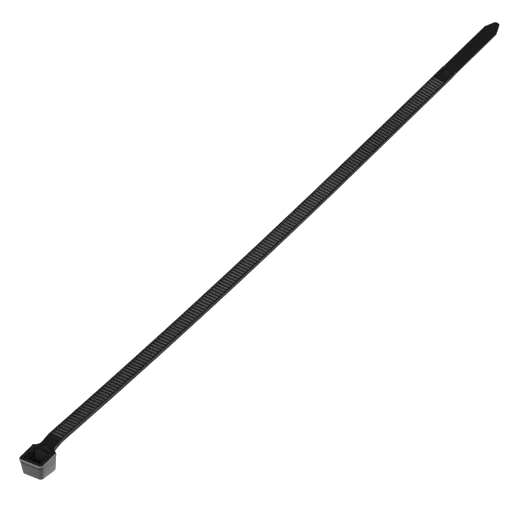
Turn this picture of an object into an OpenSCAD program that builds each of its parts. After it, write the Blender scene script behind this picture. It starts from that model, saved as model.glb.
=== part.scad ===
// Cable tie, moulded in one piece of nylon, lying with its teeth up.
// The head stands on the surface with its foot at z = 0 and its middle at the origin.
// The strap leaves the head along +X, level with the head's top, sags to the surface and
// ends in a thin tail. The tail is threaded down through the head, so the teeth then face
// the pawl, whose root is near the top of the slot and whose tip points down and outward.

/* [Overall] */
// Length of the whole tie, from the outer end of the head to the tip of the tail
overall_len = 252; // [150:2:380]

/* [Strap] */
// Width of the strap
strap_w = 4.6; // [3.8:0.1:5]
// Thickness of the strap, over its rails
strap_t = 1.25; // [1.1:0.05:1.5]
// Width of the smooth rail along each edge of the strap
rail_w = 0.5; // [0.3:0.05:0.7]
// Height of the rails over the crests of the teeth
rail_rise = 0.08; // [0.04:0.02:0.14]

/* [Teeth] */
// Distance from one tooth to the next
tooth_pitch = 1.25; // [1:0.05:1.8]
// Depth of the teeth below their crests
tooth_depth = 0.5; // [0.35:0.05:0.6]
// Flat land on the crest of each tooth
crest_land = 0.15; // [0.1:0.05:0.3]
// Lean of the steep locking face, measured along the strap
lock_lean = 0.15; // [0.05:0.05:0.2]
// Smooth neck between the head and the first tooth
neck_len = 5.95; // [5:0.05:10]
// Least length of the smooth stretch between the last tooth and its rounded end
plain_len = 5; // [4:0.5:12]

/* [Neck] */
// Length of the concave flare that widens the strap to the head
flare_len = 1.9; // [1.6:0.1:3]
// Height by which the strap springs up from the head's top before it sags
neck_rise = 1; // [0:0.1:1.5]
// Start of the shallow channel between the rails, measured from the head
channel_start = 2.75; // [1.5:0.25:4]

/* [Tail] */
// Length of the thin tail, from the end of the rails to the tip
tail_len = 28.8; // [20:0.4:45]
// Thickness of the tail
tail_t = 0.75; // [0.6:0.05:0.95]
// Drop from the top of the strap to the top of the tail
tail_drop = 0.3; // [0.15:0.05:0.45]
// Length of the slope on the underside where the strap thins to the tail
thin_len = 2.5; // [1.5:0.5:5]
// Radius of the rounded end of the smooth stretch, seen from above
shoulder_r = 2.6; // [2:0.2:6]
// Length by which the rails run on past the smooth stretch
rail_run = 2; // [1:0.25:4]
// Length of the slope at the end of each rail
rail_fade = 0.8; // [0.4:0.1:1]
// Length of the pointed end
tip_len = 4.4; // [4:0.2:9]
// Radius of the nose at the tip
nose_r = 1.15; // [0.6:0.05:1.5]

/* [Head] */
// Length of the head along the strap
head_len = 7.5; // [7:0.1:9]
// Width of the head
head_w = 7.9; // [7.4:0.1:9]
// Height of the head, at the strap
head_h = 6.05; // [5:0.05:7]
// Radius of the two outer upright corners
outer_r = 1.15; // [0.9:0.05:1.8]
// Radius of the two upright corners beside the strap
inner_r = 0.4; // [0.3:0.1:0.8]
// Radius of the rounded edge round the base
base_edge_r = 0.4; // [0.3:0.05:0.6]
// Height by which the base slopes up from its flat foot, beside the strap, to the outer end
base_rise = 0.7; // [0:0.05:1]
// Draft of the outer end, from the rim to the base
end_draft = 0.4; // [0.2:0.05:0.6]
// Draft of each side, from the rim to the base
side_draft = 0.45; // [0.1:0.05:0.5]

/* [Rim] */
// Height of the rim round the top of the head
rim_h = 0.85; // [0.5:0.05:1.2]
// Overhang of the rim at the outer end
rim_step = 0.15; // [0.1:0.05:0.3]
// Overhang of the rim along the sides
rim_lip = 0.05; // [0.03:0.01:0.1]
// Height of the groove under the rim at the outer end
groove_h = 0.35; // [0.2:0.05:0.6]
// Depth of that groove, in from the face of the rim
groove_depth = 0.4; // [0.3:0.05:0.5]

/* [Slot] */
// Wall at the outer end of the slot, which backs the strap
end_wall = 1.55; // [1.3:0.05:1.8]
// Wall between the slot and the strap, which carries the pawl
root_wall = 1.55; // [1.3:0.05:1.9]
// Clearance on each side of a strap in the slot
slot_clear = 0.15; // [0.1:0.05:0.3]
// Length of the wide mouth along the strap
mouth_len = 2.6; // [2.2:0.1:3.4]
// Flare of the mouth on each side and at the outer end
mouth_flare = 0.3; // [0.2:0.05:0.45]
// Depth of the mouth
mouth_depth = 0.7; // [0.4:0.05:1]

/* [Pocket] */
// Radius of the round pocket beside the strap, at the top face
pocket_r = 2.4; // [2.3:0.05:2.9]
// Radius of the pocket at its floor
pocket_floor_r = 2.15; // [2:0.05:2.5]
// Depth of the pocket
pocket_depth = 0.75; // [0.5:0.05:0.85]
// Thickness of the ridge between the pocket and the slot
ridge_t = 0.35; // [0.25:0.05:0.5]
// Depth of the ridge's top below the top face
ridge_depth = 0.3; // [0.2:0.05:0.45]

/* [Pawl] */
// Clearance between the pawl and each rail of a strap in the slot
pawl_clear = 0.15; // [0.1:0.05:0.3]
// Bite of the pawl's teeth into a strap that stands against the end wall
bite = 0.4; // [0.25:0.05:0.5]
// Number of teeth on the pawl
pawl_teeth = 2; // [1:1:2]
// Height of the pawl's lowest tooth above the base
pawl_foot = 0.8; // [0.5:0.1:1.1]
// Height of the flat brow between the pawl's upper tooth and its sloping face
pawl_brow = 0.35; // [0.2:0.05:0.8]
// Thickness of the pawl at its toothed end
pawl_t = 1.3; // [1:0.05:1.6]
// Thickness of the pawl's hinge at the root wall
hinge_t = 0.75; // [0.5:0.05:0.9]
// Width of the small step where the hinge meets the sloping face of the pawl
hinge_step = 0.25; // [0.15:0.05:0.4]

/* [Hidden] */

$fn = 48;
// Longest straight piece in the outline of the sagging strap
curve_step = 4;
// Pieces in the outline of the neck
neck_steps = 8;
// Length by which cutters overshoot, and by which the pawl reaches into its wall
overlap = 1;
// Thickness of the discs that a hull is drawn round
disc_t = 0.01;

// Places along the strap
head_face = head_len / 2;
strap_root = head_face - root_wall / 2;
neck_end = head_face + neck_len;
tip_x = overall_len - head_face;
thick_end = tip_x - tail_len;
plain_end = thick_end - rail_run;
tooth_count = 1 + floor((plain_end - plain_len - neck_end) / tooth_pitch);

// Heights
rest_h = head_h + neck_rise - strap_t;
tail_top = strap_t - tail_drop;
rim_z = head_h - rim_h;
hinge_z = head_h - pocket_depth;
ridge_z = head_h - ridge_depth;

// Widths
web_w = strap_w - 2 * rail_w;
slot_w = strap_w + 2 * slot_clear;
pawl_w = web_w - 2 * pawl_clear;

// Places in the slot
slot_x = -head_face + end_wall;
root_x = head_face - root_wall;
bite_x = slot_x + strap_t - bite;
pawl_top_z = pawl_foot + (pawl_teeth - 1) * tooth_pitch;

// Height of the strap's underside at x, as it sags to the surface more and more gently
function lie(x) =
    let (u = min(1, max(0, (x - head_face) / (thick_end - head_face))))
    rest_h * pow(1 - u, 3) * (1 + u / 2);

// Share of the neck's rise that is reached at x, easing in and out
function ease(x) =
    let (t = min(1, max(0, (x - head_face) / neck_len)))
    t * t * (3 - 2 * t);

// Height of the top of the strap at x: level with the head first, then on the sag
function strap_top(x) = head_h + (lie(x) + strap_t - head_h) * ease(x);

// Height of the crests of the teeth at x
function crest(x) = strap_top(x) - rail_rise;

// Even stations from a to b, none further apart than the step
function stations(a, b, step) =
    let (n = ceil((b - a) / step))
    [for (i = [0 : n]) a + (b - a) * i / n];

// Extrudes an outline drawn in X and Z by w across Y, about the middle
module across(w) {
    rotate([90, 0, 0]) linear_extrude(height = w, center = true) children();
}

// Side view of the strap and the tail, without teeth
module strap_side() {
    xs = concat(
        [strap_root],
        stations(head_face, neck_end, neck_len / neck_steps),
        [for (x = stations(neck_end, thick_end - thin_len, curve_step)) if (x > neck_end) x]
    );
    top = [for (x = xs) [x, strap_top(x)]];
    bottom = [for (i = [len(xs) - 1 : -1 : 0]) [xs[i], strap_top(xs[i]) - strap_t]];
    polygon(concat(
        top,
        [
            [thick_end - rail_fade, strap_t],
            [thick_end, tail_top],
            [tip_x, tail_top],
            [tip_x, tail_top - tail_t],
            [thick_end, tail_top - tail_t]
        ],
        bottom
    ));
}

// Side view of what is cut from between the rails: its lower edge is the row of teeth
module teeth_side() {
    start = [[head_face + channel_start, head_h + overlap],
        [head_face + channel_start, crest(head_face + channel_start)]];
    teeth = [for (i = [0 : tooth_count - 1])
        let (x = neck_end + i * tooth_pitch)
        each [
            [x - tooth_pitch + crest_land, crest(x - tooth_pitch + crest_land)],
            [x - lock_lean, crest(x) - tooth_depth],
            [x, crest(x)]
        ]];
    end = [[thick_end + overlap, crest(thick_end)], [thick_end + overlap, head_h + overlap]];
    polygon(concat(start, teeth, end));
}

// Outline of the strap, the tail and the pointed tip, from above
module strap_plan() {
    half = strap_w / 2;
    taper_x = tip_x - tip_len;
    nose_x = tip_x - nose_r;
    run = nose_x - taper_x;
    // Slope at which the straight side of the point meets the nose without a corner
    slope = atan(half / run) - asin(nose_r / norm([run, half]));
    touch = [nose_x + nose_r * sin(slope), nose_r * cos(slope)];
    translate([strap_root, -half]) square([taper_x - strap_root, strap_w]);
    polygon([[taper_x, -half], [touch[0], -touch[1]], touch, [taper_x, half]]);
    translate([nose_x, 0]) circle(r = nose_r);
}

// Outline of the concave flares that blend the strap into the head, from above
module flare_plan() {
    reach = head_w / 2 - inner_r - strap_w / 2;
    // Radius of the arc that leaves the edge of the strap and reaches the corner of the head
    r = (pow(flare_len, 2) + pow(reach, 2)) / (2 * reach);
    difference() {
        translate([strap_root, -strap_w / 2 - reach])
            square([head_face + flare_len - strap_root, strap_w + 2 * reach]);
        for (side = [-1, 1])
            translate([head_face + flare_len, side * (strap_w / 2 + r)]) circle(r = r);
    }
}

// What is cut between the rails beyond the smooth stretch, which ends in an arc
module shoulder_cut() {
    translate([0, 0, tail_top])
        linear_extrude(height = head_h)
            difference() {
                translate([plain_end - shoulder_r, -web_w / 2])
                    square([rail_run + shoulder_r + overlap, web_w]);
                translate([plain_end - shoulder_r, 0]) circle(r = shoulder_r);
            }
}

// The strap with its rails, its teeth, its tail and its flared neck
module strap() {
    difference() {
        intersection() {
            across(2 * head_w) strap_side();
            linear_extrude(height = 3 * head_h, center = true) {
                strap_plan();
                flare_plan();
            }
        }
        across(web_w) teeth_side();
        shoulder_cut();
    }
}

// Outline of the rim of the head, from above
module rim_plan() {
    for (side = [-1, 1]) {
        translate([-head_face + outer_r, side * (head_w / 2 - outer_r)]) circle(r = outer_r);
        translate([head_face - inner_r, side * (head_w / 2 - inner_r)]) circle(r = inner_r);
    }
    translate([-head_face + outer_r, -head_w / 2])
        square([head_len - outer_r - inner_r, head_w]);
    translate([-head_face, -head_w / 2 + outer_r]) square([head_len / 2, head_w - 2 * outer_r]);
    translate([0, -head_w / 2 + inner_r]) square([head_face, head_w - 2 * inner_r]);
}

// A corner of the base, with its rounded edge, at the height z
module base_corner(x, y, z, r) {
    translate([x, y - sign(y) * side_draft, z + base_edge_r])
        rotate_extrude($fn = 32)
            intersection() {
                translate([r - base_edge_r, 0]) circle(r = base_edge_r, $fn = 32);
                translate([0, -base_edge_r]) square([r, 2 * base_edge_r]);
            }
}

// The drafted body of the head below the rim, with rounded corners and base edge
module head_body() {
    outer_x = -head_face + rim_step + outer_r;
    inner_x = head_face - rim_lip - inner_r;
    hull()
        for (side = [-1, 1]) {
            outer_y = side * (head_w / 2 - rim_lip - outer_r);
            inner_y = side * (head_w / 2 - rim_lip - inner_r);
            translate([outer_x, outer_y, rim_z - disc_t])
                cylinder(r = outer_r, h = disc_t, $fn = 32);
            translate([inner_x, inner_y, rim_z - disc_t])
                cylinder(r = inner_r, h = disc_t, $fn = 32);
            base_corner(outer_x + end_draft, outer_y, base_rise, outer_r);
            base_corner(root_x, inner_y, 0, inner_r);
            base_corner(inner_x, inner_y, 0, inner_r);
        }
}

// The groove under the rim, round the outer end and its two corners
module rim_groove() {
    translate([0, 0, rim_z - groove_h])
        linear_extrude(height = groove_h)
            difference() {
                translate([-head_face - overlap, -head_w])
                    square([overlap + outer_r, 2 * head_w]);
                translate([groove_depth, 0]) rim_plan();
            }
}

// The flared mouth over the strap's way through the head
module mouth() {
    top = head_h + overlap;
    reach = mouth_flare * (1 + overlap / mouth_depth);
    intersection() {
        across(head_w)
            polygon([[slot_x, head_h - mouth_depth], [slot_x - reach, top],
                [slot_x + mouth_len, top], [slot_x + mouth_len, head_h - mouth_depth]]);
        rotate([90, 0, 90])
            linear_extrude(height = head_len, center = true)
                polygon([[-slot_w / 2, head_h - mouth_depth], [-slot_w / 2 - reach, top],
                    [slot_w / 2 + reach, top], [slot_w / 2, head_h - mouth_depth]]);
    }
}

// The round pocket beside the strap, with the lowered ridge between it and the slot
module pocket() {
    pocket_x = root_x - ridge_t;
    intersection() {
        translate([pocket_x, 0, hinge_z])
            cylinder(r1 = pocket_floor_r, r2 = pocket_r, h = pocket_depth);
        union() {
            translate([root_x + ridge_t, -head_w / 2, hinge_z - overlap])
                cube([head_len, head_w, pocket_depth + 2 * overlap]);
            translate([root_x - overlap, -head_w / 2, ridge_z])
                cube([head_len, head_w, ridge_depth + overlap]);
        }
    }
}

// The way through the head, wide enough for the strap and for the pawl to swing back
module slot() {
    translate([slot_x, -slot_w / 2, -overlap])
        cube([root_x - slot_x, slot_w, head_h + 2 * overlap]);
}

// The pawl: a hinge on the root wall, a sloping face and teeth that catch the strap's
module pawl() {
    nose = [for (i = [pawl_teeth - 1 : -1 : 0])
        let (z = pawl_foot + i * tooth_pitch)
        each [[bite_x, z], [bite_x + bite, z - lock_lean]]];
    across(pawl_w)
        polygon(concat(
            [
                [root_x + overlap, hinge_z],
                [root_x, ridge_z],
                [root_x - ridge_t, ridge_z],
                [root_x - ridge_t - hinge_step, hinge_z - hinge_step],
                [root_x - ridge_t - 2 * hinge_step, hinge_z - hinge_step],
                [bite_x + bite, pawl_top_z + pawl_brow]
            ],
            nose,
            [
                [bite_x + pawl_t, pawl_foot - lock_lean],
                [root_x - hinge_t, hinge_z - hinge_t],
                [root_x + overlap, hinge_z - hinge_t]
            ]
        ));
}

// The head: rim and drafted body, opened by the mouth, the pocket and the slot
module head() {
    difference() {
        union() {
            translate([0, 0, rim_z]) linear_extrude(height = rim_h) rim_plan();
            head_body();
        }
        rim_groove();
        slot();
        mouth();
    }
}

// The whole tie
module cable_tie() {
    color("#262628") {
        difference() {
            union() {
                head();
                strap();
            }
            pocket();
        }
        pawl();
    }
}

cable_tie();
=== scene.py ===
"""Cable tie: a one-piece nylon moulding, dressed round its fixed model and set in a plain studio.

The model's own mesh is copied, the round pocket in its head is opened to its end, its edges are
rounded as a moulding's are, and the strap gets the slight twist that it has when it lies by itself.
"""

import math

import bmesh
import bpy
import numpy as np
from bpy.props import FloatProperty, FloatVectorProperty, PointerProperty
from mathutils import Matrix, Vector


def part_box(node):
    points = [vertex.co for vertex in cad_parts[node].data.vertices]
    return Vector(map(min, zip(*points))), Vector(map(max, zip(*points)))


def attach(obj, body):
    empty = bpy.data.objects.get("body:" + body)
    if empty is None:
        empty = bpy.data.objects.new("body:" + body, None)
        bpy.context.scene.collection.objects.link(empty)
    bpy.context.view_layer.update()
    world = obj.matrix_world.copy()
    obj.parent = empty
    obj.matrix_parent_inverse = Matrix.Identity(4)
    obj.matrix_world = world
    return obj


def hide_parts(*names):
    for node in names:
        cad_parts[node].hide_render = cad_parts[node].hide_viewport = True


bl_info = {
    "name": "Cable Tie",
    "version": (1, 0, 0),
    "blender": (4, 5, 0),
    "location": "3D View > Sidebar > Cable Tie",
    "description": "Dresses the model of a nylon cable tie and sets up a plain studio",
    "category": "Object",
}

NODE = "cable_tie"
MM = 0.001

# Places along the tie, counted from the middle of the slot
HEAD_END = 5.7 * MM
SHOULDER_END = 5.8 * MM
NECK_END = 9.0 * MM
TAIL_START = 216.0 * MM
TIP_START = 245.0 * MM
RIM_BACK = -3.3 * MM

# Distances from the plane through the middle of the strap
BETWEEN_RAILS = 1.82 * MM
STRAP_SIDE = 2.0 * MM
SHOULDER_SIDE = 2.2 * MM
WELL_SIDE = 2.6 * MM
GROOVE_SIDE = 3.4 * MM
RIM_SIDE = 3.5 * MM

# Heights over the bench, and the rise of a tooth over its root
RIM_FOOT = 5.84 * MM
WELL_TOP = 5.95 * MM
TOOTH_RISE = 0.5 * MM

# Room that the straight pieces of the twist leave at its start and at the tip
START_ROOM = 1.0 * MM
TIP_ROOM = 5.0 * MM

# Shares of a face's normal from which the face counts as upward, or as a side of the strap
UPWARD = 0.97
SIDEWAYS = 0.85

# Angles up to which faces are one flat face, and from which an edge is drawn sharp or rounded
FLAT_ANGLE = math.radians(0.4)
SHARP_ANGLE = math.radians(18.0)
ROUNDED_ANGLE = math.radians(20.0)

# Painted highlight on the teeth's crests: its share at the head and its growth in a metre of strap, and
# how much the streaks change it
CREST_LIGHT_AT_HEAD = 0.35
CREST_LIGHT_GROWTH = 5.0
STREAK_ROUGHNESS = 0.12
STREAK_PALENESS = 0.5

# How far points may be apart and still be one, lie on one cut, or lie at one height
SAME_POINT = 0.0005 * MM
SAME_PLACE = 0.002 * MM
SAME_HEIGHT = 0.01 * MM

# Name, size in metres, power in watts and place of each soft light
LIGHTS = (
    ("left", (4.0, 2.4), 150.0, (-2.9, 0.85, 1.5)),
    ("back_right", (1.6, 0.4), 5.0, (2.2, 1.0, 0.22)),
    ("right", (1.0, 0.7), 22.0, (1.62, -1.46, 1.42)),
)

# Strength of the white world, and metres from the middle of the floor to its edges
WORLD_GLOW = 0.04
FLOOR_REACH = 3.0

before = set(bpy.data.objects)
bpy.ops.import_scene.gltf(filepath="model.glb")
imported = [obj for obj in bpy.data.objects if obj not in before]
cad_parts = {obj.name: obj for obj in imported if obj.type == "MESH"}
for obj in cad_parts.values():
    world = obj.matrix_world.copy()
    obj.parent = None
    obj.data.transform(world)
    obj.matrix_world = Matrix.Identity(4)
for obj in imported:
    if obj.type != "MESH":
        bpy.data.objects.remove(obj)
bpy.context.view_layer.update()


def mesh_of(node):
    """A welded copy of a model node's mesh, with its flat faces whole again."""
    bm = bmesh.new()
    bm.from_mesh(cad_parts[node].data)
    bmesh.ops.remove_doubles(bm, verts=bm.verts, dist=SAME_POINT)
    bmesh.ops.dissolve_limit(bm, angle_limit=FLAT_ANGLE, verts=bm.verts, edges=bm.edges)
    return bm


def open_pocket(bm, top):
    """Opens the end of the round pocket, which a thin skin under the rise of the strap covers.

    The face over the skin ends at the skin's straight edge. It gets the skin's round edge in place
    of that one, and the skin goes. A mesh without such a skin stays as it is.
    """
    skins = [face for face in bm.faces
             if face.normal.z < -0.9 and abs(face.calc_center_median().z - top) < 2 * SAME_HEIGHT]
    if len(skins) != 1:
        return
    skin = skins[0]
    straight = min(skin.edges, key=lambda edge: edge.verts[0].co.x + edge.verts[1].co.x)
    above = [face for face in straight.link_faces if face != skin and face.normal.z > 0.5]
    if len(above) != 1:
        return
    rim = [loop.vert for loop in skin.loops]
    ring = [loop.vert for loop in above[0].loops]
    start, end = sorted(ring.index(vert) for vert in straight.verts)
    if (start, end) == (0, len(ring) - 1):
        start, end = end, start
    turn = rim.index(ring[start])
    arc = (rim[turn:] + rim[:turn])[1:]
    arc.remove(ring[end])
    normal, foot = above[0].normal.copy(), straight.verts[0].co.copy()
    for vert in arc:
        vert.co.z -= (vert.co - foot).dot(normal) / normal.z
    bmesh.ops.delete(bm, geom=[skin, above[0]], context="FACES_KEEP_BOUNDARY")
    bm.faces.new(ring[:start + 1] + arc + ring[start + 1:])
    bm.normal_update()


def cut_across(bm, places):
    """Cuts the mesh square to the strap at each place."""
    for place in places:
        spans = [face for face in bm.faces
                 if min(v.co.x for v in face.verts) < place < max(v.co.x for v in face.verts)]
        edges = dict.fromkeys(edge for face in spans for edge in face.edges)
        verts = dict.fromkeys(vert for face in spans for vert in face.verts)
        bmesh.ops.bisect_plane(bm, geom=[*verts, *edges, *spans], dist=SAME_PLACE / 2,
                               plane_co=(place, 0.0, 0.0), plane_no=(1.0, 0.0, 0.0))


def underside(bm, places):
    """Height of the strap's underside at each place where the mesh has been cut."""
    points = np.array([vert.co for vert in bm.verts])
    return [points[abs(points[:, 0] - place) < SAME_PLACE, 2].min() for place in places]


def twist_strap(bm, settings, places):
    """Turns the strap more and more towards the tail, with its near bottom edge kept where it lies.

    Each point keeps its place across the strap and its height over the underside, for the finishes.
    """
    place_across = bm.verts.layers.float.new("across")
    height = bm.verts.layers.float.new("height")
    heights = underside(bm, places)
    near = min(vert.co.y for vert in bm.verts if abs(vert.co.x - places[-1]) < SAME_PLACE)
    for vert in bm.verts:
        share = (vert.co.x - settings.twist_start) / (settings.twist_end - settings.twist_start)
        angle = settings.twist * min(1.0, max(0.0, share))
        base = np.interp(vert.co.x, places, heights)
        across, up = vert.co.y, vert.co.z - base
        vert[place_across] = across
        vert[height] = up
        vert.co.y = across * math.cos(angle) - up * math.sin(angle)
        vert.co.z = base + (across - near) * math.sin(angle) + up * math.cos(angle)


def rounding_of(edge, settings, outer_end, top):
    """Rounding of a convex edge, or 0 where it stays sharp.

    The head's outer end and the height of its top are given.
    """
    start, end = (vert.co for vert in edge.verts)
    middle = (start + end) / 2
    off = abs(middle.y)
    level = abs(start.z - end.z) < SAME_HEIGHT
    if level and off > SHOULDER_SIDE and settings.rim_end < middle.x < SHOULDER_END:
        return 0.0
    if middle.x <= HEAD_END:
        inside = off < GROOVE_SIDE and middle.x > outer_end + settings.rim_width
        on_rim = level and middle.z > top - SAME_HEIGHT and middle.x < settings.rim_end
        return settings.rim_edge if on_rim and not inside else settings.fine_edge
    if off < STRAP_SIDE and middle.x < NECK_END:
        return 0.0
    crosswise = abs((end - start).normalized().x) < 0.1
    if off <= STRAP_SIDE and not (crosswise and middle.x > TIP_START):
        return settings.fine_edge
    on_back = all(face.normal.z < 0.5 for face in edge.link_faces)
    on_rail = NECK_END < middle.x < TAIL_START and not on_back
    return settings.rail_edge if on_rail else settings.back_edge


def weigh_edges(bm, settings, outer_end, top):
    """Gives each convex edge its rounding, as a share of the rim's, for the Bevel modifier."""
    weights = bm.edges.layers.float.new("bevel_weight_edge")
    for edge in bm.edges:
        if edge.is_manifold and edge.is_convex and edge.calc_face_angle(0.0) >= ROUNDED_ANGLE:
            edge[weights] = rounding_of(edge, settings, outer_end, top) / settings.rim_edge


class TieSettings(bpy.types.PropertyGroup):
    """Sizes and colours of the dressed tie"""

    rim_edge: FloatProperty(name="Rim edge", description="Rounding of the top edge of the head",
                            default=0.2 * MM, min=0.01 * MM, max=0.3 * MM, unit="LENGTH")
    rim_end: FloatProperty(name="Rim end", description="Place along the head where its rim ends",
                           default=3.1 * MM, unit="LENGTH")
    rim_width: FloatProperty(name="Rim width", description="Width of the rim at the head's outer end",
                             default=1.0 * MM, min=0.0, unit="LENGTH")
    rail_edge: FloatProperty(name="Rail edges", description="Rounding of the outer edge of each rail",
                             default=0.06 * MM, min=0.0, max=0.2 * MM, unit="LENGTH")
    back_edge: FloatProperty(name="Back edges",
                             description="Rounding of the edges of the smooth side, neck and tail",
                             default=0.07 * MM, min=0.0, max=0.2 * MM, unit="LENGTH")
    fine_edge: FloatProperty(name="Fine edges",
                             description="Rounding of the teeth, the slot and the pawl",
                             default=0.03 * MM, min=0.0, max=0.05 * MM, unit="LENGTH")
    twist: FloatProperty(name="Twist", description="Twist of the strap from the head to the tail",
                         default=math.radians(14.67), subtype="ANGLE")
    twist_start: FloatProperty(name="Twist start", description="Place where the strap's twist starts",
                               default=3.75 * MM, unit="LENGTH")
    twist_end: FloatProperty(name="Twist end", description="Place where the full twist is reached",
                             default=215.0 * MM, unit="LENGTH")
    station: FloatProperty(name="Station",
                           description="Length of the pieces that stay straight in the twist",
                           default=2.5 * MM, min=0.5 * MM, unit="LENGTH")
    colour: FloatVectorProperty(name="Nylon", description="Colour of the nylon", subtype="COLOR",
                                default=(0.004, 0.004, 0.0042), min=0.0, max=1.0)
    # Pale colour of the painted highlights on the teeth's crests and on the head's rim
    highlight_colour: FloatVectorProperty(name="Scuffed",
                                        description="Colour of nylon that is wholly scuffed",
                                        default=(0.2, 0.2, 0.205), min=0.0, max=1.0,
                                        subtype="COLOR")
    # Share of the painted highlight colour on the teeth's crests, standing in for the light they catch
    crest_highlight_share: FloatProperty(name="Teeth scuff",
                               description="Share of the scuffed colour on the teeth's crests",
                               default=0.56, min=0.0, max=1.0, subtype="FACTOR")
    teeth_start: FloatProperty(name="Teeth start", description="Place just before the first crest",
                               default=9.55 * MM, unit="LENGTH")
    teeth_end: FloatProperty(name="Teeth end", description="Place just after the last crest",
                             default=212.35 * MM, unit="LENGTH")
    tooth_root: FloatProperty(name="Tooth root",
                              description="Height of the teeth's roots over the underside",
                              default=0.75 * MM, min=0.0, unit="LENGTH")
    crest_roughness: FloatProperty(name="Crest roughness",
                                   description="Roughness of the teeth's crests",
                                   default=0.36, min=0.0, max=1.0, subtype="FACTOR")
    root_roughness: FloatProperty(name="Root roughness", description="Roughness between the teeth",
                                  default=0.9, min=0.0, max=1.0, subtype="FACTOR")
    roughness: FloatProperty(name="Roughness", description="Roughness of the rails",
                             default=0.36, min=0.0, max=1.0, subtype="FACTOR")
    tail_roughness: FloatProperty(name="Tail roughness",
                                  description="Roughness of the smooth end and the tail",
                                  default=0.44, min=0.0, max=1.0, subtype="FACTOR")
    head_roughness: FloatProperty(name="Head roughness",
                                  description="Roughness of the outer sides of the head",
                                  default=0.22, min=0.0, max=1.0, subtype="FACTOR")
    top_roughness: FloatProperty(name="Top roughness",
                                 description="Roughness of the head's top face and the neck",
                                 default=0.55, min=0.0, max=1.0, subtype="FACTOR")
    slot_roughness: FloatProperty(name="Slot roughness",
                                  description="Roughness of the slot, the pocket and the pawl",
                                  default=1.0, min=0.0, max=1.0, subtype="FACTOR")
    side_roughness: FloatProperty(name="Side roughness",
                                  description="Roughness of the strap's two sides",
                                  default=0.72, min=0.0, max=1.0, subtype="FACTOR")
    low_roughness: FloatProperty(name="Low roughness",
                                 description="Roughness of the sides under the parting line",
                                 default=1.0, min=0.0, max=1.0, subtype="FACTOR")
    parting_height: FloatProperty(name="Parting height",
                                  description="Height of the parting line over the underside",
                                  default=0.65 * MM, min=0.0, unit="LENGTH")


class StudioSettings(bpy.types.PropertyGroup):
    """Camera, lights and floor"""

    target: FloatVectorProperty(name="Target",
                                description="Point on the floor at the middle of the view",
                                default=(0.11218, 0.00133, 0.0), subtype="TRANSLATION")
    azimuth: FloatProperty(name="Azimuth", description="Direction in which the camera looks, from +Y",
                           default=math.radians(-56.59), subtype="ANGLE")
    elevation: FloatProperty(name="Elevation", description="Angle of the camera over the floor",
                             default=math.radians(37.08), subtype="ANGLE")
    roll: FloatProperty(name="Roll", description="Roll of the camera about its line of sight",
                        default=math.radians(-1.73), subtype="ANGLE")
    distance: FloatProperty(name="Distance", description="Distance from the camera to the target",
                            default=1.3286, unit="LENGTH")
    lens: FloatProperty(name="Lens", description="Focal length of the camera, in millimetres",
                        default=325.6)
    floor_colour: FloatVectorProperty(name="Floor", description="Colour of the floor",
                                      default=(0.9, 0.9, 0.9), min=0.0, max=1.0, subtype="COLOR")
    floor_glow: FloatProperty(name="Floor glow",
                              description="Light of the floor itself, as of a light table",
                              default=1.3, min=0.0)


class Socket:
    """Wraps a shader socket, so that expressions on values add their Math nodes."""

    def __init__(self, tree, socket):
        self.tree = tree
        self.socket = socket

    def math(self, operation, *others):
        """The result of a Math node on this value and the others."""
        values = [self, *others]
        return Shader(self.tree).node("Math", settings={"operation": operation},
                                      inputs=dict(enumerate(values))).out(0)

    def above(self, level):
        """1 where the value is over the level, 0 elsewhere."""
        return self.math("GREATER_THAN", level)

    def below(self, level):
        """1 where the value is under the level, 0 elsewhere."""
        return self.math("LESS_THAN", level)

    def __add__(self, other):
        return self.math("ADD", other)

    __radd__ = __add__

    def __mul__(self, other):
        return self.math("MULTIPLY", other)

    __rmul__ = __mul__

    def __sub__(self, other):
        return self.math("SUBTRACT", other)

    def __rsub__(self, other):
        return (self * -1.0) + other


def blend(start, end, share):
    """Goes from start to end as the share goes from 0 to 1."""
    return start + share * (end - start)


class Added:
    """A node that was added, with its outputs as wrapped sockets."""

    def __init__(self, tree, node):
        self.tree = tree
        self.made = node

    def out(self, key):
        """The output of this name or number."""
        return Socket(self.tree, self.made.outputs[key])


class Shader:
    """Adds nodes to one material."""

    def __init__(self, tree):
        self.tree = tree

    def node(self, kind, settings=None, inputs=None):
        """Adds a node with its settings, and gives its inputs their values or links."""
        made = self.tree.nodes.new("ShaderNode" + kind)
        for name, value in (settings or {}).items():
            setattr(made, name, value)
        for key, value in (inputs or {}).items():
            if isinstance(value, Socket):
                self.tree.links.new(value.socket, made.inputs[key])
            else:
                made.inputs[key].default_value = value
        return Added(self.tree, made)


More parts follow.
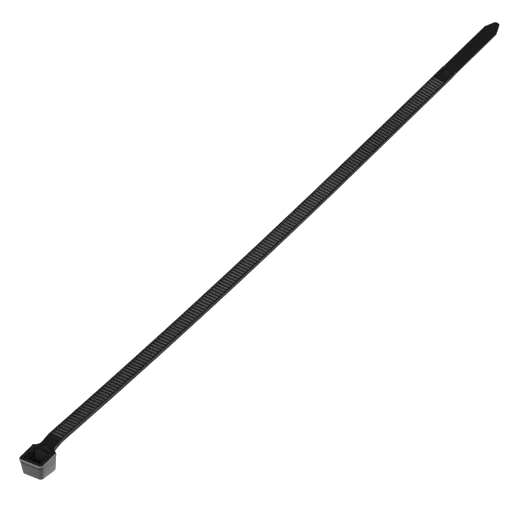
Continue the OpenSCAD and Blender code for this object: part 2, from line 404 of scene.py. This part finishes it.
def nylon(settings):
    """Black nylon with streaks along its flow.

    The head's outer sides are glossy, its top and the strap satin, and the slot and the strap's
    sides dull. The crests of the teeth and the rim of the head are painted pale: painted highlights
    in place of the light that they catch.
    """
    material = bpy.data.materials.new("black_nylon")
    material.use_nodes = True
    material.node_tree.nodes.clear()
    shader = Shader(material.node_tree)
    place = shader.node("TexCoord").out("Object")
    spot = shader.node("SeparateXYZ", inputs={"Vector": place})
    along, off, up = spot.out("X"), spot.out("Y").math("ABSOLUTE"), spot.out("Z")
    normal = shader.node("NewGeometry").out("Normal")
    facing = shader.node("SeparateXYZ", inputs={"Vector": normal})
    upward = facing.out("Z").above(UPWARD)
    sideways = facing.out("Y").math("ABSOLUTE").above(SIDEWAYS)
    height = shader.node("Attribute", settings={"attribute_name": "height"}).out("Fac")
    across = shader.node("Attribute", settings={"attribute_name": "across"}).out("Fac")
    flow = shader.node("Mapping", inputs={"Vector": place, "Scale": (60.0, 400.0, 400.0)}).out("Vector")
    noise = shader.node("TexNoise", inputs={"Vector": flow, "Scale": 1.0, "Detail": 3.0})
    streaks = noise.out("Fac") - 0.5

    tail = along.above(settings.teeth_end)
    toothed = along.above(settings.teeth_start) * (1.0 - tail)
    teeth = toothed * across.math("ABSOLUTE").below(BETWEEN_RAILS)
    crest = ((height - settings.tooth_root) * (1.0 / TOOTH_RISE)).math("MAXIMUM", 0.0)

    well = off.below(WELL_SIDE) * along.above(-WELL_SIDE) * up.below(WELL_TOP)
    on_head = blend(settings.head_roughness, settings.top_roughness, upward)
    on_head = blend(on_head, settings.slot_roughness, well)
    on_teeth = blend(settings.root_roughness, settings.crest_roughness, crest)
    on_top = blend(settings.top_roughness, settings.roughness, toothed)
    on_top = blend(on_top, settings.tail_roughness, tail)
    on_top = blend(on_top, on_teeth, teeth)
    low = height.below(settings.parting_height)
    on_side = blend(settings.side_roughness, settings.low_roughness, low)
    on_strap = blend(on_top, on_side, sideways)
    roughness = blend(on_head, on_strap, along.above(HEAD_END)) + streaks * STREAK_ROUGHNESS

    # Painted highlight on the head's rounded top edge, at its outer sides and outer end, in place of the
    # light that the rounding catches
    outer = off.above(RIM_SIDE).math("MAXIMUM", along.below(RIM_BACK))
    rim = outer * up.above(RIM_FOOT) * along.below(settings.rim_end) * (1.0 - upward)
    # Painted highlight on the teeth's crests, weaker at the head and growing brighter along the strap,
    # with the streaks in it
    crest_light = (CREST_LIGHT_AT_HEAD + along * CREST_LIGHT_GROWTH).math("MINIMUM", 1.0)
    crest_light = crest_light * (1.0 + streaks * STREAK_PALENESS)
    painted_highlight = teeth * crest * crest_light * settings.crest_highlight_share + rim
    # Mixes the nylon colour towards the pale colour of the painted highlights on the crests and the rim
    colour = shader.node("Mix", settings={"data_type": "RGBA"}, inputs={
        0: painted_highlight,
        6: (*settings.colour, 1.0),
        7: (*settings.highlight_colour, 1.0),
    }).out(2)
    grain = shader.node("TexNoise", inputs={"Vector": place, "Scale": 9000.0, "Detail": 2.0})
    bump = shader.node("Bump", inputs={
        "Strength": 0.15,
        "Distance": 0.02 * MM,
        "Height": grain.out("Fac"),
    })
    surface = shader.node("BsdfPrincipled", inputs={
        "Base Color": colour,
        "Roughness": roughness,
        "Normal": bump.out("Normal"),
        "IOR": 1.53,
    })
    shader.node("OutputMaterial", inputs={"Surface": surface.out("BSDF")})
    return material


class OBJECT_OT_tie_moulding(bpy.types.Operator):
    """Make the dressed moulding from the model's own mesh"""

    bl_idname = "object.tie_moulding"
    bl_label = "Moulding"

    def execute(self, context):
        settings = context.scene.tie
        bm = mesh_of(NODE)
        low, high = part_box(NODE)
        top = max(vert.co.z for vert in bm.verts if vert.co.x < 0.0)
        open_pocket(bm, top)
        first = settings.twist_start + START_ROOM
        count = int((high.x - TIP_ROOM - first) / settings.station)
        places = [first + i * settings.station for i in range(count)]
        cut_across(bm, [settings.rim_end, *places])
        weigh_edges(bm, settings, low.x, top)
        twist_strap(bm, settings, places)
        mesh = bpy.data.meshes.new("moulding")
        bm.to_mesh(mesh)
        bm.free()
        mesh.shade_smooth()
        mesh.set_sharp_from_angle(angle=SHARP_ANGLE)
        piece = bpy.data.objects.new("moulding", mesh)
        context.scene.collection.objects.link(piece)
        rounding = piece.modifiers.new("rounding", "BEVEL")
        rounding.width = settings.rim_edge
        rounding.segments = 2
        rounding.limit_method = "WEIGHT"
        rounding.use_clamp_overlap = False
        rounding.harden_normals = True
        mesh.materials.append(nylon(settings))
        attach(piece, "root")
        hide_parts(NODE)
        return {"FINISHED"}


def add_camera(scene, studio):
    """A camera that looks down at the target by the studio's angles."""
    level = math.cos(studio.elevation)
    ahead = Vector((
        -math.sin(studio.azimuth) * level,
        math.cos(studio.azimuth) * level,
        -math.sin(studio.elevation),
    ))
    turn = ahead.to_track_quat("-Z", "Y") @ Matrix.Rotation(studio.roll, 4, "Z").to_quaternion()
    camera = bpy.data.cameras.new("camera")
    camera.lens = studio.lens
    camera.clip_end = 10.0
    holder = bpy.data.objects.new("camera", camera)
    holder.location = Vector(studio.target) - ahead * studio.distance
    holder.rotation_euler = turn.to_euler()
    scene.collection.objects.link(holder)
    scene.camera = holder


def add_floor(scene, studio):
    """The plain floor, which takes no highlights and glows by itself."""
    mesh = bpy.data.meshes.new("floor")
    bm = bmesh.new()
    bmesh.ops.create_grid(bm, x_segments=1, y_segments=1, size=FLOOR_REACH)
    bm.to_mesh(mesh)
    bm.free()
    floor = bpy.data.objects.new("floor", mesh)
    scene.collection.objects.link(floor)
    paint = bpy.data.materials.new("floor_paint")
    paint.use_nodes = True
    surface = paint.node_tree.nodes["Principled BSDF"].inputs
    surface["Base Color"].default_value = (*studio.floor_colour, 1.0)
    surface["Roughness"].default_value = 0.9
    surface["Specular IOR Level"].default_value = 0.0
    surface["Emission Color"].default_value = (1.0, 1.0, 1.0, 1.0)
    surface["Emission Strength"].default_value = studio.floor_glow
    mesh.materials.append(paint)


def add_area(scene, name, size, power, place, target, lit):
    """A soft light at a place, turned to a target, that lights only what is in the collection."""
    light = bpy.data.lights.new(name, "AREA")
    light.shape = "RECTANGLE"
    light.size = size[0]
    light.size_y = size[1]
    light.energy = power
    lamp = bpy.data.objects.new(name, light)
    lamp.location = place
    lamp.visible_camera = False
    lamp.light_linking.receiver_collection = lit
    lamp.rotation_euler = (Vector(target) - Vector(place)).to_track_quat("-Z", "Y").to_euler()
    scene.collection.objects.link(lamp)


class OBJECT_OT_tie_studio(bpy.types.Operator):
    """Set the camera, the lights and the plain pale floor"""

    bl_idname = "object.tie_studio"
    bl_label = "Studio"

    def execute(self, context):
        scene = context.scene
        studio = scene.tie_studio
        add_camera(scene, studio)
        add_floor(scene, studio)
        world = bpy.data.worlds.new("studio")
        world.use_nodes = True
        background = world.node_tree.nodes["Background"].inputs
        background["Color"].default_value = (1.0, 1.0, 1.0, 1.0)
        background["Strength"].default_value = WORLD_GLOW
        scene.world = world
        lit = bpy.data.collections.new("lit")
        lit.objects.link(bpy.data.objects["moulding"])
        for name, size, power, place in LIGHTS:
            add_area(scene, name, size, power, place, studio.target, lit)
        scene.view_settings.view_transform = "Standard"
        return {"FINISHED"}


class VIEW3D_PT_cable_tie(bpy.types.Panel):
    """Lists the operators of the cable tie"""

    bl_idname = "VIEW3D_PT_cable_tie"
    bl_label = "Cable Tie"
    bl_space_type = "VIEW_3D"
    bl_region_type = "UI"
    bl_category = "Cable Tie"

    def draw(self, context):
        for operator in (OBJECT_OT_tie_moulding, OBJECT_OT_tie_studio):
            self.layout.operator(operator.bl_idname)


CLASSES = (TieSettings, StudioSettings, OBJECT_OT_tie_moulding, OBJECT_OT_tie_studio, VIEW3D_PT_cable_tie)


def register():
    for each in CLASSES:
        bpy.utils.register_class(each)
    bpy.types.Scene.tie = PointerProperty(type=TieSettings)
    bpy.types.Scene.tie_studio = PointerProperty(type=StudioSettings)


def unregister():
    del bpy.types.Scene.tie_studio
    del bpy.types.Scene.tie
    for each in reversed(CLASSES):
        bpy.utils.unregister_class(each)


def main():
    register()
    bpy.ops.object.tie_moulding()
    bpy.ops.object.tie_studio()


if __name__ == "__main__":
    main()
